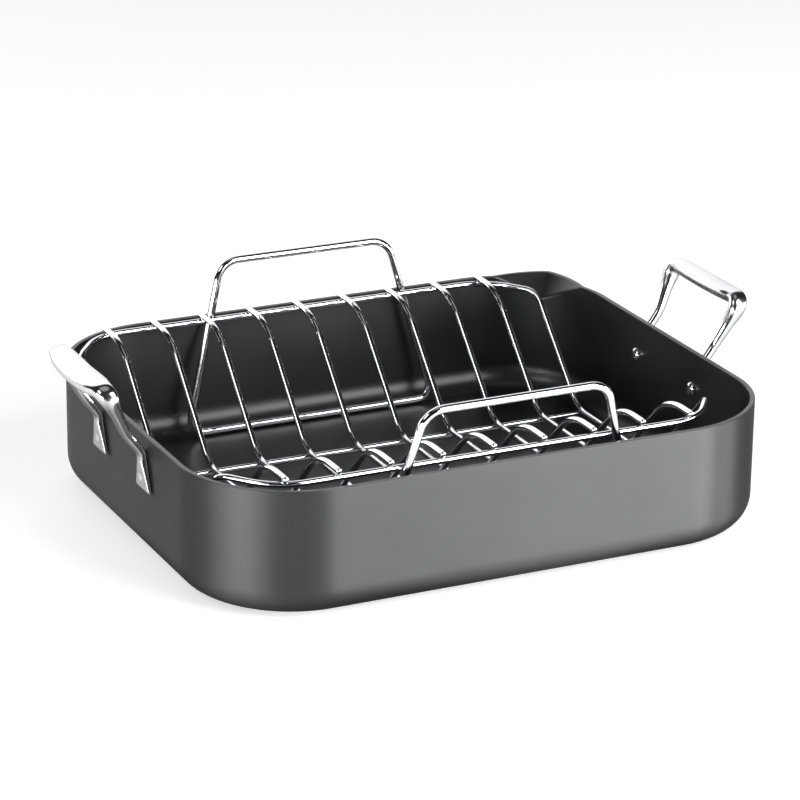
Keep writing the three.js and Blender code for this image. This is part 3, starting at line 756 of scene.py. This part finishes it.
# Floor: a plain pale sweep that the pan stands on. It is lit by the soft boxes, so it keeps the pan's
# shadow, and a part of its white is given to every ray that sees it, which keeps that shadow faint.
FLOOR_HALF = 9
FLOOR_DROP = 0.2 * MM
FLOOR_PALE = (0.8, 0.8, 0.8, 1)
FLOOR_GLOW = 0.5
floor_material, floor_tree, floor_shader = new_material("pale_floor")
floor_shader.inputs["Base Color"].default_value = FLOOR_PALE
floor_shader.inputs["Roughness"].default_value = 0.9
floor_shader.inputs["Specular IOR Level"].default_value = 0
floor_shader.inputs["Emission Color"].default_value = (1, 1, 1, 1)
rays = add_node(floor_tree, "ShaderNodeLightPath")
camera_or_glossy = add_node(floor_tree, "ShaderNodeMath", operation="ADD", use_clamp=True)
seeing = add_node(floor_tree, "ShaderNodeMath", operation="ADD", use_clamp=True)
glow = add_node(floor_tree, "ShaderNodeMath", operation="MULTIPLY")
glow.inputs[1].default_value = FLOOR_GLOW
floor_tree.links.new(rays.outputs["Is Camera Ray"], camera_or_glossy.inputs[0])
floor_tree.links.new(rays.outputs["Is Glossy Ray"], camera_or_glossy.inputs[1])
floor_tree.links.new(camera_or_glossy.outputs["Value"], seeing.inputs[0])
floor_tree.links.new(rays.outputs["Is Transmission Ray"], seeing.inputs[1])
floor_tree.links.new(seeing.outputs["Value"], glow.inputs[0])
floor_tree.links.new(glow.outputs["Value"], floor_shader.inputs["Emission Strength"])
floor_corners = np.array([[-1, -1, 0], [1, -1, 0], [1, 1, 0], [-1, 1, 0]])
floor_points = floor_corners * FLOOR_HALF - [0, 0, FLOOR_DROP]
floor = new_piece("floor", floor_points, [[0, 1, 2, 3]], [floor_material])

# Studio light: soft boxes round the pan, low strips for the upright walls and two higher ones for the
# inside and the rack. The world is a dark sky for the bright metal to mirror, with a white backdrop
# behind the pan and a soft light straight above. Angles are in degrees, anticlockwise from +X.
LAMP_REACH = 2.4
LAMP_AIM_Z = 0.05
STRIP_LIFT = 8
STRIP_TALL = 0.35
DOME_FOOT = 67
DOME_FULL = 82
DOME_LOW = 0.02
DOME_HIGH = 0.35
BACKDROP_WAY = (0.1, 0.955, 0.28)
BACKDROP_EDGE = 0.72
BACKDROP_FULL = 0.84
BACKDROP_WHITE = 1.4


def soft_box(name, azimuth, elevation, width, height, radiance):
    """A rectangular lamp on a sphere round the pan, facing its middle, of an even radiance."""
    a, e = math.radians(azimuth), math.radians(elevation)
    back = np.array([math.cos(a) * math.cos(e), math.sin(a) * math.cos(e), math.sin(e)])
    side = np.array([-math.sin(a), math.cos(a), 0])
    lamp = bpy.data.lights.new(name, "AREA")
    lamp.shape = "RECTANGLE"
    lamp.size = width
    lamp.size_y = height
    lamp.energy = math.pi * width * height * radiance
    box = bpy.data.objects.new(name, lamp)
    bpy.context.scene.collection.objects.link(box)
    turn = np.eye(4)
    turn[:3, :3] = np.stack([side, np.cross(back, side), back], axis=1)
    turn[:3, 3] = LAMP_REACH * back + [0, 0, LAMP_AIM_Z]
    box.matrix_world = Matrix(turn.tolist())
    box.visible_camera = False


soft_box("left_strip", 200, STRIP_LIFT, 2.4, STRIP_TALL, radiance=15)
soft_box("left_core", 203, STRIP_LIFT, 1.1, STRIP_TALL, radiance=12)
soft_box("front_box", 300, STRIP_LIFT, 1.8, STRIP_TALL, radiance=19)
soft_box("front_core", 308, STRIP_LIFT, 0.9, STRIP_TALL, radiance=24)
soft_box("right_front", 335, STRIP_LIFT, 0.8, STRIP_TALL, radiance=24)
soft_box("back_left", 114, STRIP_LIFT, 1.1, STRIP_TALL, radiance=6.5)
soft_box("left_high", 192, 45, 0.7, 0.8, radiance=4)
soft_box("front_high", 301, 37, 1.35, 1.25, radiance=5.2)

world = bpy.data.worlds.new("studio")
bpy.context.scene.world = world
world.use_nodes = True
sky = world.node_tree
sky.nodes["Background"].inputs["Color"].default_value = (1, 1, 1, 1)
sky_place = add_node(sky, "ShaderNodeTexCoord")
sky_split = add_node(sky, "ShaderNodeSeparateXYZ")
sky_dome = add_node(sky, "ShaderNodeMapRange", interpolation_type="SMOOTHSTEP")
sky_dome.inputs["From Min"].default_value = math.sin(math.radians(DOME_FOOT))
sky_dome.inputs["From Max"].default_value = math.sin(math.radians(DOME_FULL))
sky_dome.inputs["To Min"].default_value = DOME_LOW
sky_dome.inputs["To Max"].default_value = DOME_HIGH
sky_behind = add_node(sky, "ShaderNodeVectorMath", operation="DOT_PRODUCT")
sky_behind.inputs[1].default_value = BACKDROP_WAY
sky_back = add_node(sky, "ShaderNodeMapRange", interpolation_type="SMOOTHSTEP")
sky_back.inputs["From Min"].default_value = BACKDROP_EDGE
sky_back.inputs["From Max"].default_value = BACKDROP_FULL
sky_back.inputs["To Max"].default_value = BACKDROP_WHITE
sky_sum = add_node(sky, "ShaderNodeMath", operation="ADD")
sky.links.new(sky_place.outputs["Generated"], sky_split.inputs["Vector"])
sky.links.new(sky_split.outputs["Z"], sky_dome.inputs["Value"])
sky.links.new(sky_place.outputs["Generated"], sky_behind.inputs[0])
sky.links.new(sky_behind.outputs["Value"], sky_back.inputs["Value"])
sky.links.new(sky_dome.outputs["Result"], sky_sum.inputs[0])
sky.links.new(sky_back.outputs["Result"], sky_sum.inputs[1])
sky.links.new(sky_sum.outputs["Value"], sky.nodes["Background"].inputs["Strength"])

# Camera: the photograph's lens and place, found by fitting them to points of the rim, the floor and the
# handles. Its place is in metres, and its three directions are unit vectors.
CAMERA_LENS = 155.32
CAMERA_SENSOR = 36
CAMERA_CLIP = 50
CAMERA_RIGHT = [0.9025, -0.4306, 0.0121]
CAMERA_UP = [0.1386, 0.3169, 0.9383]
CAMERA_BACK = [-0.4078, -0.8451, 0.3457]
CAMERA_PLACE = [-0.9506, -1.9607, 0.8712]
camera_data = bpy.data.cameras.new("camera")
camera_data.sensor_width = CAMERA_SENSOR
camera_data.lens = CAMERA_LENS
camera_data.clip_end = CAMERA_CLIP
camera = bpy.data.objects.new("camera", camera_data)
bpy.context.scene.collection.objects.link(camera)
camera_turn = np.eye(4)
camera_turn[:3] = np.stack([CAMERA_RIGHT, CAMERA_UP, CAMERA_BACK, CAMERA_PLACE], axis=1)
camera.matrix_world = Matrix(camera_turn.tolist())
bpy.context.scene.camera = camera
bpy.context.scene.view_settings.view_transform = "Standard"
